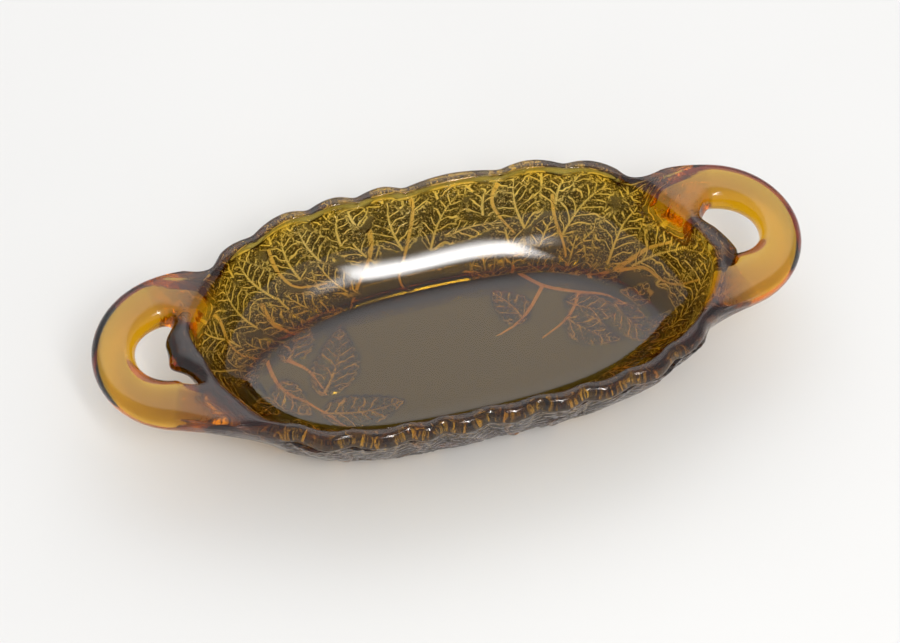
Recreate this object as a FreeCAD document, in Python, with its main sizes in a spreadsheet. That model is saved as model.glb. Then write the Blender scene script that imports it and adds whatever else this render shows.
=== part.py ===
import FreeCAD, Part
import Sketcher
import math
import os

# Oval dish of pressed glass with two loop handles, in millimetres.
# The origin is the centre of the underside, +X along the handles, +Y to the back and +Z up.
# The real dish is one piece of glass: the sub-parts are its regions, and they meet face to face.

PARTS_FOLDER = "parts"

# Driving dimensions. "Inner" is the side that holds the food, "outer" the side with the leaves.
DIMENSIONS = {
    "overall_length": 240.0,
    "overall_height": 37.0,
    "rim_inner_half_length": 87.5,
    "rim_inner_half_width": 45.0,
    "rim_width": 4.5,
    "rim_depth": 6.0,
    "rim_overhang": 1.0,
    "lobe_depth": 1.8,
    "floor_half_length": 71.0,
    "floor_half_width": 25.0,
    "floor_thickness": 5.0,
    "base_half_length": 75.0,
    "base_half_width": 33.0,
    "handle_bend_radius": 22.0,
    "handle_width": 14.5,
    "handle_height": 11.5,
    "handle_root_start": 62.0,
    "root_flare_x": 79.0,
    "root_flare_y": 25.0,
    "root_flare_length": 11.0,
    "root_flare_width": 8.0,
    "root_flare_drop": 9.0,
}

# The plan outline follows |x / half_length|^LONG_POWER + |y / half_width|^CROSS_POWER = 1:
# nearly straight sides, cut-off corners, and ends that come to a blunt point under the handles.
LONG_POWER = 4.2
CROSS_POWER = 1.23

# Stations along the outline, as shares of the half length, in anticlockwise order from the front right
# corner. The outline is four curves that meet at scallop notches. Along a curve notches and crests take
# turns, except on the plain stretch round each end, between the handle's roots.
FRONT_RIGHT_STATIONS = (0.685, 0.77, 0.86)
BACK_RIGHT_STATIONS = (0.87, 0.84, 0.78, 0.66, 0.56)
BACK_STATIONS = (0.56, 0.435, 0.31, 0.11, -0.08, -0.16, -0.27, -0.35, -0.46, -0.54, -0.68)
BACK_LEFT_STATIONS = (-0.68, -0.77, -0.86)
FRONT_LEFT_STATIONS = (-0.86, -0.77, -0.685)
FRONT_STATIONS = (-0.685, -0.6, -0.51, -0.41, -0.31, -0.25, -0.195, -0.11, -0.02, 0.07, 0.16, 0.25,
                  0.34, 0.42, 0.51, 0.6, 0.685)
END_STATION = 0.955
BACK, FRONT = 1, -1
RIGHT, LEFT = 1, -1

WALL_LEVELS = 6


def make_sheet(doc):
    """The spreadsheet that holds the driving dimensions, one alias each."""
    sheet = doc.addObject("Spreadsheet::Sheet", "Dimensions")
    for row, (alias, value) in enumerate(DIMENSIONS.items(), start=1):
        sheet.set(f"A{row}", alias)
        sheet.set(f"B{row}", str(value))
        sheet.setAlias(f"B{row}", alias)
    return sheet


def half_width_at(share, half_width):
    """The outline's half width where x is this share of its half length."""
    return half_width * (1.0 - abs(share) ** LONG_POWER) ** (1.0 / CROSS_POWER)


def side_points(shares, half_length, half_width, side, lobe):
    """Points along a scalloped stretch: a notch at each even place and a crest at each odd one."""
    points = []
    for place, share in enumerate(shares):
        push = lobe / 2.0 if place % 2 else -lobe / 2.0
        reach = half_width_at(share, half_width) + push
        points.append(FreeCAD.Vector(share * half_length, side * reach, 0.0))
    return points


def end_points(half_length, half_width, end):
    """The three points round one end, in anticlockwise order."""
    corner = half_width_at(END_STATION, half_width)
    return [
        FreeCAD.Vector(end * END_STATION * half_length, -end * corner, 0.0),
        FreeCAD.Vector(end * half_length, 0.0, 0.0),
        FreeCAD.Vector(end * END_STATION * half_length, end * corner, 0.0),
    ]


def curve_points(half_length, half_width, lobe):
    """The points of the four curves of one outline, by the name of the wall that stands on each."""
    size = (half_length, half_width)
    right = side_points(FRONT_RIGHT_STATIONS, *size, FRONT, lobe)
    right += end_points(*size, RIGHT)
    right += side_points(BACK_RIGHT_STATIONS, *size, BACK, lobe)
    left = side_points(BACK_LEFT_STATIONS, *size, BACK, lobe)
    left += end_points(*size, LEFT)
    left += side_points(FRONT_LEFT_STATIONS, *size, FRONT, lobe)
    return {
        "right_end_wall": right,
        "back_wall": side_points(BACK_STATIONS, *size, BACK, lobe),
        "left_end_wall": left,
        "front_wall": side_points(FRONT_STATIONS, *size, FRONT, lobe),
    }


def smooth_edge(points, height):
    """A smooth curve through points, at one height."""
    curve = Part.BSplineCurve()
    curve.interpolate(Points=[point + FreeCAD.Vector(0, 0, height) for point in points])
    return curve.toShape()


def outline_wire(half_length, half_width, height, lobe):
    """A closed outline of the dish at one height: four smooth curves that meet at notches."""
    curves = curve_points(half_length, half_width, lobe)
    return Part.Wire([smooth_edge(points, height) for points in curves.values()])


def band_wire(wall, outer_size, inner_size, height):
    """A closed strip between the outer and the inner outline, along one wall, at one height."""
    outer_edge = smooth_edge(curve_points(*outer_size)[wall], height)
    inner_edge = smooth_edge(curve_points(*inner_size)[wall], height)
    outer_first, outer_last = outer_edge.Vertexes[0].Point, outer_edge.Vertexes[-1].Point
    inner_first, inner_last = inner_edge.Vertexes[0].Point, inner_edge.Vertexes[-1].Point
    last_side = Part.LineSegment(outer_last, inner_last).toShape()
    first_side = Part.LineSegment(inner_first, outer_first).toShape()
    return Part.Wire([outer_edge, last_side, inner_edge, first_side])


def add_shape(doc, label, shape):
    """A helper object that holds a computed wire or face."""
    helper = doc.addObject("Part::Feature", label)
    helper.Shape = shape
    return helper


def add_loft(doc, label, sections):
    """A solid through a stack of closed sections, straight from each one to the next."""
    loft = doc.addObject("Part::Loft", label)
    loft.Sections = sections
    loft.Solid = True
    loft.Ruled = True
    loft.Label = label
    return loft


def add_prism(doc, label, base, length_expression):
    """A straight prism over a wire or face, as tall as the expression says."""
    prism = doc.addObject("Part::Extrusion", label)
    prism.Base = base
    prism.DirMode = "Custom"
    prism.Dir = FreeCAD.Vector(0, 0, 1)
    prism.Solid = True
    prism.setExpression("LengthFwd", length_expression)
    prism.Label = label
    return prism


def add_cut(doc, label, base, tool):
    """One object less another."""
    result = doc.addObject("Part::Cut", label)
    result.Base = base
    result.Tool = tool
    result.Refine = False
    result.Label = label
    return result


def between(low, high, share):
    return low + (high - low) * share


def wall_heights(sheet):
    """The underside, then levels that crowd together where the hollow's cove is flattest."""
    top = sheet.overall_height - sheet.rim_depth
    depth = top - sheet.floor_thickness
    heights = [0.0]
    for level in range(WALL_LEVELS + 1):
        angle = math.radians(90.0 * level / WALL_LEVELS)
        heights.append(sheet.floor_thickness + depth * (1.0 - math.cos(angle)))
    return heights


def outer_size(sheet, height):
    """The outer outline at a height: half way between a straight flare and a quarter of an ellipse."""
    rise = height / (sheet.overall_height - sheet.rim_depth)
    bulge = math.sqrt(max(0.0, 1.0 - (1.0 - rise) ** 2))
    spread = (rise + bulge) / 2.0
    edge = sheet.rim_width - sheet.rim_overhang
    half_length = between(sheet.base_half_length, sheet.rim_inner_half_length + edge, spread)
    half_width = between(sheet.base_half_width, sheet.rim_inner_half_width + edge, spread)
    return half_length, half_width, sheet.lobe_depth * rise ** 2


def inner_size(sheet, height):
    """The inner outline at a height: a quarter of an ellipse from the flat floor to the upright rim."""
    depth = sheet.overall_height - sheet.rim_depth - sheet.floor_thickness
    rise = max(0.0, height - sheet.floor_thickness) / depth
    spread = math.sqrt(max(0.0, 1.0 - (1.0 - rise) ** 2))
    half_length = between(sheet.floor_half_length, sheet.rim_inner_half_length, spread)
    half_width = between(sheet.floor_half_width, sheet.rim_inner_half_width, spread)
    return half_length, half_width, sheet.lobe_depth * rise ** 2


def add_wall(doc, sheet, wall):
    """One stretch of the wall, from the underside to the rim, outside the floor panel."""
    sections = []
    for level, height in enumerate(wall_heights(sheet)):
        wire = band_wire(wall, outer_size(sheet, height), inner_size(sheet, height), height)
        sections.append(add_shape(doc, f"{wall}_section_{level}", wire))
    return add_loft(doc, wall, sections)


def rim_outer_size(sheet):
    half_length = sheet.rim_inner_half_length + sheet.rim_width
    half_width = sheet.rim_inner_half_width + sheet.rim_width
    return half_length, half_width, sheet.lobe_depth


def add_rim_band(doc, sheet):
    """The upright band at the top, with its scalloped lip standing out over the wall."""
    height = sheet.overall_height - sheet.rim_depth
    outer_length, outer_width, lobe = rim_outer_size(sheet)
    outer_wire = outline_wire(outer_length, outer_width, height, lobe)
    inner_wire = outline_wire(sheet.rim_inner_half_length, sheet.rim_inner_half_width, height, lobe)
    ring = Part.makeFace([outer_wire, inner_wire], "Part::FaceMakerBullseye")
    plan = add_shape(doc, "rim_plan", ring)
    return add_prism(doc, "rim_band", plan, "Dimensions.rim_depth")


def add_floor_panel(doc, sheet):
    """The flat floor, from the surface that it stands on to the surface that the food lies on."""
    wire = outline_wire(sheet.floor_half_length, sheet.floor_half_width, 0.0, 0.0)
    return add_prism(doc, "floor_panel", add_shape(doc, "floor_outline", wire), "Dimensions.floor_thickness")


def add_dish_envelope(doc, sheet):
    """The dish with its hollow filled, used to trim the handles where the dish begins."""
    sections = []
    for level, height in enumerate(wall_heights(sheet)):
        half_length, half_width, lobe = outer_size(sheet, height)
        wire = outline_wire(half_length, half_width, height, lobe)
        sections.append(add_shape(doc, f"envelope_section_{level}", wire))
    below_rim = add_loft(doc, "envelope_below_rim", sections)
    height = sheet.overall_height - sheet.rim_depth
    half_length, half_width, lobe = rim_outer_size(sheet)
    rim_outline = add_shape(doc, "rim_outline", outline_wire(half_length, half_width, height, lobe))
    # Twice the rim's depth, so that the cutter's top stands clear above the handles' flush tops.
    at_rim = add_prism(doc, "envelope_at_rim", rim_outline, "2 * Dimensions.rim_depth")
    return below_rim, at_rim


def add_handle_path(doc):
    """The middle line of the right handle: out along one side, round the bend and back."""
    path = doc.addObject("Sketcher::SketchObject", "handle_path")
    root = DIMENSIONS["handle_root_start"]
    bend = DIMENSIONS["handle_bend_radius"]
    centre = DIMENSIONS["overall_length"] / 2 - DIMENSIONS["handle_width"] / 2 - bend
    back_line = Part.LineSegment(FreeCAD.Vector(root, bend, 0), FreeCAD.Vector(centre, bend, 0))
    circle = Part.Circle(FreeCAD.Vector(centre, 0, 0), FreeCAD.Vector(0, 0, 1), bend)
    bend_arc = Part.ArcOfCircle(circle, -math.pi / 2, math.pi / 2)
    front_line = Part.LineSegment(FreeCAD.Vector(centre, -bend, 0), FreeCAD.Vector(root, -bend, 0))
    path.addGeometry([back_line, bend_arc, front_line], False)
    start, end, middle, origin = 1, 2, 3, -1
    path.addConstraint(Sketcher.Constraint("Tangent", 0, end, 1, end))
    path.addConstraint(Sketcher.Constraint("Tangent", 1, start, 2, start))
    path.addConstraint(Sketcher.Constraint("Horizontal", 0))
    path.addConstraint(Sketcher.Constraint("Horizontal", 2))
    path.addConstraint(Sketcher.Constraint("PointOnObject", 1, middle, origin))
    path.addConstraint(Sketcher.Constraint("Vertical", 0, start, 2, end))
    named = {
        "bend_radius": (Sketcher.Constraint("Radius", 1, bend), "Dimensions.handle_bend_radius"),
        "root_start": (
            Sketcher.Constraint("DistanceX", origin, start, 0, start, root),
            "Dimensions.handle_root_start",
        ),
        "bend_centre": (
            Sketcher.Constraint("DistanceX", origin, start, 1, middle, centre),
            "Dimensions.overall_length / 2 - Dimensions.handle_width / 2 - Dimensions.handle_bend_radius",
        ),
    }
    for name, (constraint, expression) in named.items():
        index = path.addConstraint(constraint)
        path.renameConstraint(index, name)
        path.setExpression(f"Constraints.{name}", expression)
    path.setExpression("Placement.Base.z", "Dimensions.overall_height - Dimensions.handle_height / 2")
    return path


def add_handle_section(doc):
    """The oval section of the handle, standing across the start of its path."""
    section = doc.addObject("Part::Ellipse", "handle_section")
    section.setExpression("MajorRadius", "Dimensions.handle_width / 2")
    section.setExpression("MinorRadius", "Dimensions.handle_height / 2")
    # Turning a third of a turn about the diagonal carries X to Y, Y to Z and Z to X.
    section.Placement.Rotation = FreeCAD.Rotation(FreeCAD.Vector(1, 1, 1), 120)
    section.setExpression("Placement.Base.x", "Dimensions.handle_root_start")
    section.setExpression("Placement.Base.y", "Dimensions.handle_bend_radius")
    section.setExpression("Placement.Base.z", "Dimensions.overall_height - Dimensions.handle_height / 2")
    return section


def add_root_flare(doc, label, side):
    """The swelling where the handle runs into the wall, flush with the rim at its top."""
    flare = doc.addObject("Part::Ellipsoid", label)
    flare.setExpression("Radius1", "Dimensions.root_flare_drop")
    flare.setExpression("Radius2", "Dimensions.root_flare_length")
    flare.setExpression("Radius3", "Dimensions.root_flare_width")
    flare.setExpression("Placement.Base.x", "Dimensions.root_flare_x")
    flare.setExpression("Placement.Base.y", f"{side} * Dimensions.root_flare_y")
    flare.setExpression("Placement.Base.z", "Dimensions.overall_height - Dimensions.root_flare_drop")
    return flare


def add_handles(doc, envelope):
    """One handle and its mirror image, each trimmed where the dish begins."""
    loop = doc.addObject("Part::Sweep", "handle_loop")
    loop.Sections = [add_handle_section(doc)]
    path = add_handle_path(doc)
    doc.recompute()
    edge_names = [f"Edge{number + 1}" for number in range(len(path.Shape.Edges))]
    loop.Spine = (path, edge_names)
    loop.Solid = True
    whole = doc.addObject("Part::MultiFuse", "handle_whole")
    whole.Shapes = [loop, add_root_flare(doc, "back_flare", BACK), add_root_flare(doc, "front_flare", FRONT)]
    mirrored = doc.addObject("Part::Mirroring", "handle_mirrored")
    mirrored.Source = whole
    mirrored.Base = FreeCAD.Vector(0, 0, 0)
    mirrored.Normal = FreeCAD.Vector(1, 0, 0)
    below_rim, at_rim = envelope
    handles = []
    for label, source in {"right_handle": whole, "left_handle": mirrored}.items():
        clear_of_rim = add_cut(doc, f"{label}_clear_of_rim", source, at_rim)
        handles.append(add_cut(doc, label, clear_of_rim, below_rim))
    return handles


def check_document(doc, sub_parts):
    """Stops when any object failed or a sub-part has no valid solid."""
    for item in doc.Objects:
        if "Invalid" in item.State or "Error" in item.State:
            raise RuntimeError(f"{item.Label} failed: {item.State}")
    for item in sub_parts:
        shape = item.Shape
        if shape.isNull() or not shape.isValid():
            raise RuntimeError(f"{item.Label} has no valid shape")
        if len(shape.Solids) != 1:
            raise RuntimeError(f"{item.Label} has {len(shape.Solids)} solids")


def main():
    os.makedirs(PARTS_FOLDER, exist_ok=True)
    doc = FreeCAD.newDocument("TwoHandledDish")
    sheet = make_sheet(doc)
    doc.recompute()
    sub_parts = [add_floor_panel(doc, sheet), add_rim_band(doc, sheet)]
    for wall in curve_points(*rim_outer_size(sheet)):
        sub_parts.append(add_wall(doc, sheet, wall))
    sub_parts += add_handles(doc, add_dish_envelope(doc, sheet))
    doc.recompute()
    check_document(doc, sub_parts)
    for item in sub_parts:
        item.Shape.exportStep(os.path.join(PARTS_FOLDER, f"{item.Label}.step"))
        box = item.Shape.BoundBox
        size = f"{box.XLength:.1f} x {box.YLength:.1f} x {box.ZLength:.1f} mm"
        print(f"{item.Label}: {size}, {item.Shape.Volume:.0f} cubic mm")


main()
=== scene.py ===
import bpy
import math
import numpy as np
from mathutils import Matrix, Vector
from mathutils.kdtree import KDTree


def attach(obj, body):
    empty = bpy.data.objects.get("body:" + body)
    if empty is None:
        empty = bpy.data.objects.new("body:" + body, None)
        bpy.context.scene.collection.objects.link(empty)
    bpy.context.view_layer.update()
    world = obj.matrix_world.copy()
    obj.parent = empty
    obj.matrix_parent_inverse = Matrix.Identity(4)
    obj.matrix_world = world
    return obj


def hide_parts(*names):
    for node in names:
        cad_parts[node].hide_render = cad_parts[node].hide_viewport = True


# Oval dish of amber pressed glass with two loop handles and leaves moulded into its outer side.
# The real dish is one piece of glass, so it is one closed mesh here: the body is a grid of rows, which run
# round the dish, and columns, which run from under the base over the rim to the middle of the bowl.
# Lengths are in millimetres until the mesh is made.

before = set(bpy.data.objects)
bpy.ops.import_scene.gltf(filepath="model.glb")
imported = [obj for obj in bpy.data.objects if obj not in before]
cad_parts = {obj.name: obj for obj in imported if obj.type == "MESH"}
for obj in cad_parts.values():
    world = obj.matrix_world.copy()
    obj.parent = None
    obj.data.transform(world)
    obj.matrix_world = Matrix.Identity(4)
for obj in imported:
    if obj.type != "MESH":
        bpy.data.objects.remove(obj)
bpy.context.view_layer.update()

METRES = 0.001
TAU = 2.0 * math.pi

# The dish, as the CAD model has it.
OVERALL_LENGTH, OVERALL_HEIGHT = 240.0, 37.0
RIM_INNER_LENGTH, RIM_INNER_WIDTH = 87.5, 45.0
RIM_DEPTH = 6.0
WALL_TOP = OVERALL_HEIGHT - RIM_DEPTH
FLOOR_LENGTH, FLOOR_WIDTH, FLOOR_THICKNESS = 71.0, 25.0, 5.0
BASE_LENGTH, BASE_WIDTH = 75.0, 33.0
LONG_POWER, CROSS_POWER = 4.2, 1.23
HANDLE_BEND = 22.0
HANDLE_WIDTH = 14.5
BEND_CENTRE = OVERALL_LENGTH / 2.0 - HANDLE_WIDTH / 2.0 - HANDLE_BEND

# Only in the looks: how deep the scallops are, and how far the two tips lean to opposite sides.
LOBE_DEPTH = 2.6
INNER_LOBE_DEPTH = 1.5
TIP_LEAN = 5.0
# How much the floor and the base are rounded off towards an ellipse.
FLOOR_ROUNDNESS = 0.55
# How far out of the inner edge the top of the outer wall stands, along and across the dish.
WALL_EDGE_LENGTH, WALL_EDGE_WIDTH = 6.5, 3.5
# How much wider the rim is at the two tips.
TIP_WIDENING = 0.8
# A leaf tip swells the rim into the left handle's hole: by how much, where, and how far round the rim.
LEAF_TIP_WIDENING, LEAF_TIP_STATION, LEAF_TIP_WIDTH = 0.55, -0.985, 2.6
# How soon the tips' widening and their clearness from painted shade fade away from them, and how soon their
# lean does: powers of the share of the half length.
TIP_POWER, LEAN_POWER = 14, 8

# Scallops, as shares of the half length. Notches and crests take turns, from the right tip back and round.
BACK_STATIONS = (0.87, 0.84, 0.78, 0.66, 0.56, 0.435, 0.31, 0.11, -0.08, -0.16, -0.27, -0.35, -0.46, -0.54,
                 -0.68, -0.77, -0.86)
FRONT_STATIONS = (-0.86, -0.77, -0.685, -0.6, -0.51, -0.41, -0.31, -0.25, -0.195, -0.11, -0.02, 0.07, 0.16,
                  0.25, 0.34, 0.42, 0.51, 0.6, 0.685, 0.77, 0.86)
# Past this share the two ends have no scallops. Those at the front are gentler, by FRONT_LOBE_SHARE.
END_STATION = 0.955
FRONT_LOBE_SHARE = 0.8
# How far the scallops and the outline's directions are smoothed along the rim.
SCALLOP_BLUR, DIRECTION_BLUR = 1.1, 1.5

# How many points there are round the rim.
COLUMNS = 720


# ---------------------------------------------------------------- outline of the dish

def unit_outline():
    """COLUMNS points of |x|^LONG_POWER + |y|^CROSS_POWER = 1, evenly spaced along the rim itself.

    Returns the points, and each one's distance round the rim from the right tip."""
    angle = np.linspace(0.0, TAU, 400001)
    x = np.sign(np.cos(angle)) * np.abs(np.cos(angle)) ** (2.0 / LONG_POWER)
    y = np.sign(np.sin(angle)) * np.abs(np.sin(angle)) ** (2.0 / CROSS_POWER)
    step = np.hypot(np.diff(x) * RIM_INNER_LENGTH, np.diff(y) * RIM_INNER_WIDTH)
    distance = np.concatenate([[0.0], np.cumsum(step)])
    even = np.linspace(0.0, distance[-1], COLUMNS, endpoint=False)
    points = np.stack([np.interp(even, distance, x), np.interp(even, distance, y)], axis=1)
    return points, even, distance[-1]


UNIT, ALONG, RIM_LENGTH = unit_outline()
ELLIPSE = UNIT / np.linalg.norm(UNIT, axis=1)[:, None]
# 1 at the two tips, and soon 0 away from them.
TIPS = np.abs(UNIT[:, 0]) ** TIP_POWER


def along_at(share, back):
    """Distance round the rim of the place with this share of the half length, on the back or front side."""
    half = COLUMNS // 2
    if back:
        return float(np.interp(-share, -UNIT[: half + 1, 0], ALONG[: half + 1]))
    return float(np.interp(share, UNIT[half:, 0], ALONG[half:]))


def scallops():
    """For every column, -1 in a notch, +1 on a crest and 0 round the two ends. Gentler at the front."""
    places, values = [0.0, along_at(END_STATION, True)], [0.0, 0.0]
    for place, share in enumerate(BACK_STATIONS):
        places.append(along_at(share, True))
        values.append(1.0 if place % 2 else -1.0)
    places += [along_at(-END_STATION, True), along_at(-END_STATION, False)]
    values += [0.0, 0.0]
    for place, share in enumerate(FRONT_STATIONS):
        places.append(along_at(share, False))
        values.append(FRONT_LOBE_SHARE if place % 2 else -FRONT_LOBE_SHARE)
    places += [along_at(END_STATION, False), RIM_LENGTH]
    values += [0.0, 0.0]
    wave = np.zeros(COLUMNS)
    for start, end, low, high in zip(places, places[1:], values, values[1:]):
        inside = (ALONG >= start) & (ALONG <= end)
        share = (ALONG[inside] - start) / max(end - start, 1e-9)
        if high > low:
            wave[inside] = low + (high - low) * np.sin(share * math.pi / 2.0)
        else:
            wave[inside] = high + (low - high) * np.cos(share * math.pi / 2.0)
    return blur_round(wave, SCALLOP_BLUR)


def blur_round(values, width):
    """A Gaussian blur round the rim, this many millimetres wide."""
    offsets = np.minimum(ALONG, RIM_LENGTH - ALONG)
    kernel = np.exp(-0.5 * (offsets / width) ** 2)
    kernel /= kernel.sum()
    return np.real(np.fft.ifft(np.fft.fft(values) * np.fft.fft(kernel)))


WAVE = scallops()


def widening():
    """How many times as wide as elsewhere the rim is, at every column."""
    leaf_tip = np.exp(-((ALONG - along_at(LEAF_TIP_STATION, False)) / LEAF_TIP_WIDTH) ** 2)
    return 1.0 + TIP_WIDENING * TIPS + LEAF_TIP_WIDENING * leaf_tip


WIDENING = widening()


def outward():
    """The outline's outward direction at every column."""
    ahead = np.roll(UNIT, -1, axis=0) - np.roll(UNIT, 1, axis=0)
    ahead = ahead * (RIM_INNER_LENGTH, RIM_INNER_WIDTH)
    normal = np.stack([ahead[:, 1], -ahead[:, 0]], axis=1)
    normal /= np.linalg.norm(normal, axis=1)[:, None]
    for axis in (0, 1):
        normal[:, axis] = blur_round(normal[:, axis], DIRECTION_BLUR)
    return normal / np.linalg.norm(normal, axis=1)[:, None]


OUTWARD = outward()


def ring(half_length, half_width, height, lobe=0.0, lean=1.0, push=0.0, roundness=0.0):
    """One closed row of the grid. lobe is the scallops' depth, lean the share of TIP_LEAN, push how far the
    row is moved along the outline's outward direction, and roundness how near it is to an ellipse."""
    unit = between(UNIT, ELLIPSE, roundness)
    plan = unit * (half_length, half_width) + OUTWARD * (WAVE * lobe / 2.0 + WIDENING * push)[:, None]
    plan[:, 1] -= TIP_LEAN * lean * np.sign(unit[:, 0]) * np.abs(unit[:, 0]) ** LEAN_POWER
    return np.column_stack([plan, np.full(COLUMNS, height)])


def between(low, high, share):
    """low where share is 0 and high where it is 1."""
    return low + (high - low) * share


# ---------------------------------------------------------------- rows of the body

def outer_wall_ring(height):
    """The wall curves out from the foot to the rim, halfway between a straight slope and a quarter round."""
    rise = height / WALL_TOP
    bulge = math.sqrt(max(0.0, 1.0 - (1.0 - rise) ** 2))
    spread = (rise + bulge) / 2.0
    half_length = between(BASE_LENGTH, RIM_INNER_LENGTH + WALL_EDGE_LENGTH, spread)
    half_width = between(BASE_WIDTH, RIM_INNER_WIDTH + WALL_EDGE_WIDTH, spread)
    roundness = FLOOR_ROUNDNESS * (1.0 - spread)
    return ring(half_length, half_width, height, LOBE_DEPTH * rise ** 1.5, roundness=roundness)


def inner_wall_ring(share):
    """share is 0 at the edge of the flat floor, which the cove leaves at an angle, and 1 under the rim."""
    start = math.radians(COVE_START)
    angle = between(start, math.pi / 2.0, share)
    rise = 1.0 - math.cos(angle) / math.cos(start)
    spread = (math.sin(angle) - math.sin(start)) / (1.0 - math.sin(start))
    half_length = between(FLOOR_LENGTH, RIM_INNER_LENGTH, spread)
    half_width = between(FLOOR_WIDTH, RIM_INNER_WIDTH, spread)
    height = between(FLOOR_THICKNESS, WALL_TOP, rise)
    roundness = FLOOR_ROUNDNESS * (1.0 - spread)
    return ring(half_length, half_width, height, INNER_LOBE_DEPTH * rise ** 4, roundness=roundness)


# How many rows each part of the body has.
UNDER_ROWS = 52
WALL_ROWS = 55
SHOULDER_ROWS = 9
COVE_ROWS = 26
FLOOR_ROWS = 8
# Which of the rim's rows turns down into the bowl. From there inwards the rows have half the points.
RIM_TURN = 3
# The rim in section: how far out of the inner edge its flat top and its outer side are, and how far down
# its rounded shoulder comes.
RIM_FLAT, RIM_WIDTH, SHOULDER_HEIGHT = 1.9, 4.65, 4.1
# Under the shoulder, and from the flat top down into the bowl, as (out from the inner edge, height).
UNDER_SHOULDER = ((3.85, 31.25), (4.2, 31.7), (4.45, 32.2), (4.6, 32.6))
RIM_TOP = ((1.5, 37.0), (1.1, 37.0), (0.75, 37.0), (0.35, 36.88), (0.1, 36.6), (0.0, 36.2), (0.0, 35.0),
           (0.0, 33.5), (0.0, 32.2))
FOOT_RADIUS = 1.6
# The size of the innermost row under the base, as a share of the outermost.
INNERMOST_SHARE = 0.25
# The angle, in degrees, at which the cove leaves the flat floor.
COVE_START = 16.0


def body_rows():
    """All the rows, and the name of the zone that each belongs to."""
    rows, zones = [], []

    def add(zone, row):
        rows.append(row)
        zones.append(zone)

    foot = (BASE_LENGTH - FOOT_RADIUS, BASE_WIDTH - FOOT_RADIUS)
    for share in np.linspace(INNERMOST_SHARE, 1.0, UNDER_ROWS):
        add("under", ring(foot[0] * share, foot[1] * share, 0.0, lean=share, roundness=FLOOR_ROUNDNESS))
    for turn in (math.radians(30.0), math.radians(60.0)):
        out = FOOT_RADIUS * math.sin(turn)
        up = FOOT_RADIUS * (1.0 - math.cos(turn))
        add("wall", ring(foot[0] + out, foot[1] + out, up, roundness=FLOOR_ROUNDNESS))
    for height in wall_heights():
        add("wall", outer_wall_ring(height))
    shoulder = [(between(RIM_FLAT, RIM_WIDTH, math.cos(turn)),
                 OVERALL_HEIGHT - SHOULDER_HEIGHT * (1.0 - math.sin(turn)))
                for turn in np.linspace(0.0, math.pi / 2.0, SHOULDER_ROWS)]
    for out, height in (*UNDER_SHOULDER, *shoulder):
        add("lip", ring(RIM_INNER_LENGTH, RIM_INNER_WIDTH, height, LOBE_DEPTH, push=out))
    for out, height in RIM_TOP:
        lobe = between(INNER_LOBE_DEPTH, LOBE_DEPTH, out / RIM_FLAT)
        add("rim", ring(RIM_INNER_LENGTH, RIM_INNER_WIDTH, height, lobe, push=out))
    for place in range(COVE_ROWS, -1, -1):
        add("cove", inner_wall_ring(place / COVE_ROWS))
    for place in range(FLOOR_ROWS - 1, 0, -1):
        share = place / FLOOR_ROWS
        half_length, half_width = FLOOR_LENGTH * share, FLOOR_WIDTH * share
        add("floor", ring(half_length, half_width, FLOOR_THICKNESS, lean=share, roundness=FLOOR_ROUNDNESS))
    return np.array(rows), np.array(zones)


def first_row(zones, zone):
    return int(np.nonzero(zones == zone)[0][0])


def wall_heights():
    """Heights evenly spaced along the outer wall's slope at the middle of a long side."""
    fine = np.linspace(FOOT_RADIUS * 0.9, WALL_TOP, 400)
    reach = np.array([outer_wall_ring(height)[COLUMNS // 4, 1] for height in fine])
    slope = np.concatenate([[0.0], np.cumsum(np.hypot(np.diff(reach), np.diff(fine)))])
    return np.interp(np.linspace(0.0, slope[-1], WALL_ROWS), slope, fine)


# ---------------------------------------------------------------- leaves on the outer side

# Leaves on the wall: (distance of the root round the rim from the right tip, distance of the root down from
# the lip, direction in degrees where 0 runs on round the rim and 90 runs up to the lip, length, width).
# The whole set repeats half a turn on. Later leaves lie over earlier ones.
WALL_LEAVES = (
    (19.0, 17.0, 110.0, 17.0, 11.0),
    (34.0, 19.0, 95.0, 18.0, 13.0),
    (46.0, 20.0, 75.0, 17.0, 12.0),
    (62.0, 18.0, 95.0, 17.0, 12.0),
    (88.0, 19.0, 95.0, 17.0, 11.0),
    (57.0, 28.0, 117.0, 27.0, 17.0),
    (72.0, 25.0, 73.0, 23.0, 15.0),
    (35.0, 37.0, 90.0, 28.0, 17.0),
    (46.0, 47.0, 75.0, 21.0, 13.0),
    (27.0, 33.0, 130.0, 37.0, 20.0),
    (104.0, 24.0, 172.0, 24.0, 10.0),
    (108.0, 27.0, 120.0, 28.0, 13.0),
    (118.0, 25.0, 85.0, 23.0, 15.0),
    (129.0, 28.0, 70.0, 25.0, 14.0),
    (139.0, 18.0, 100.0, 16.0, 12.0),
    (147.0, 23.0, 80.0, 21.0, 15.0),
    (158.0, 25.0, 95.0, 22.0, 15.0),
    (170.0, 27.0, 80.0, 24.0, 15.0),
    (197.0, 25.0, 70.0, 21.0, 14.0),
    (184.0, 32.0, 93.0, 28.0, 17.0),
    (55.0, 46.0, 37.0, 26.0, 16.0),
    (78.0, 54.0, 75.0, 19.0, 15.0),
    (143.0, 38.0, 70.0, 19.0, 14.0),
    (156.0, 45.0, 60.0, 21.0, 15.0),
    (173.0, 45.0, 75.0, 22.0, 15.0),
    (190.0, 47.0, 85.0, 18.0, 13.0),
    (207.0, 37.0, 65.0, 34.0, 19.0),
)

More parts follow.
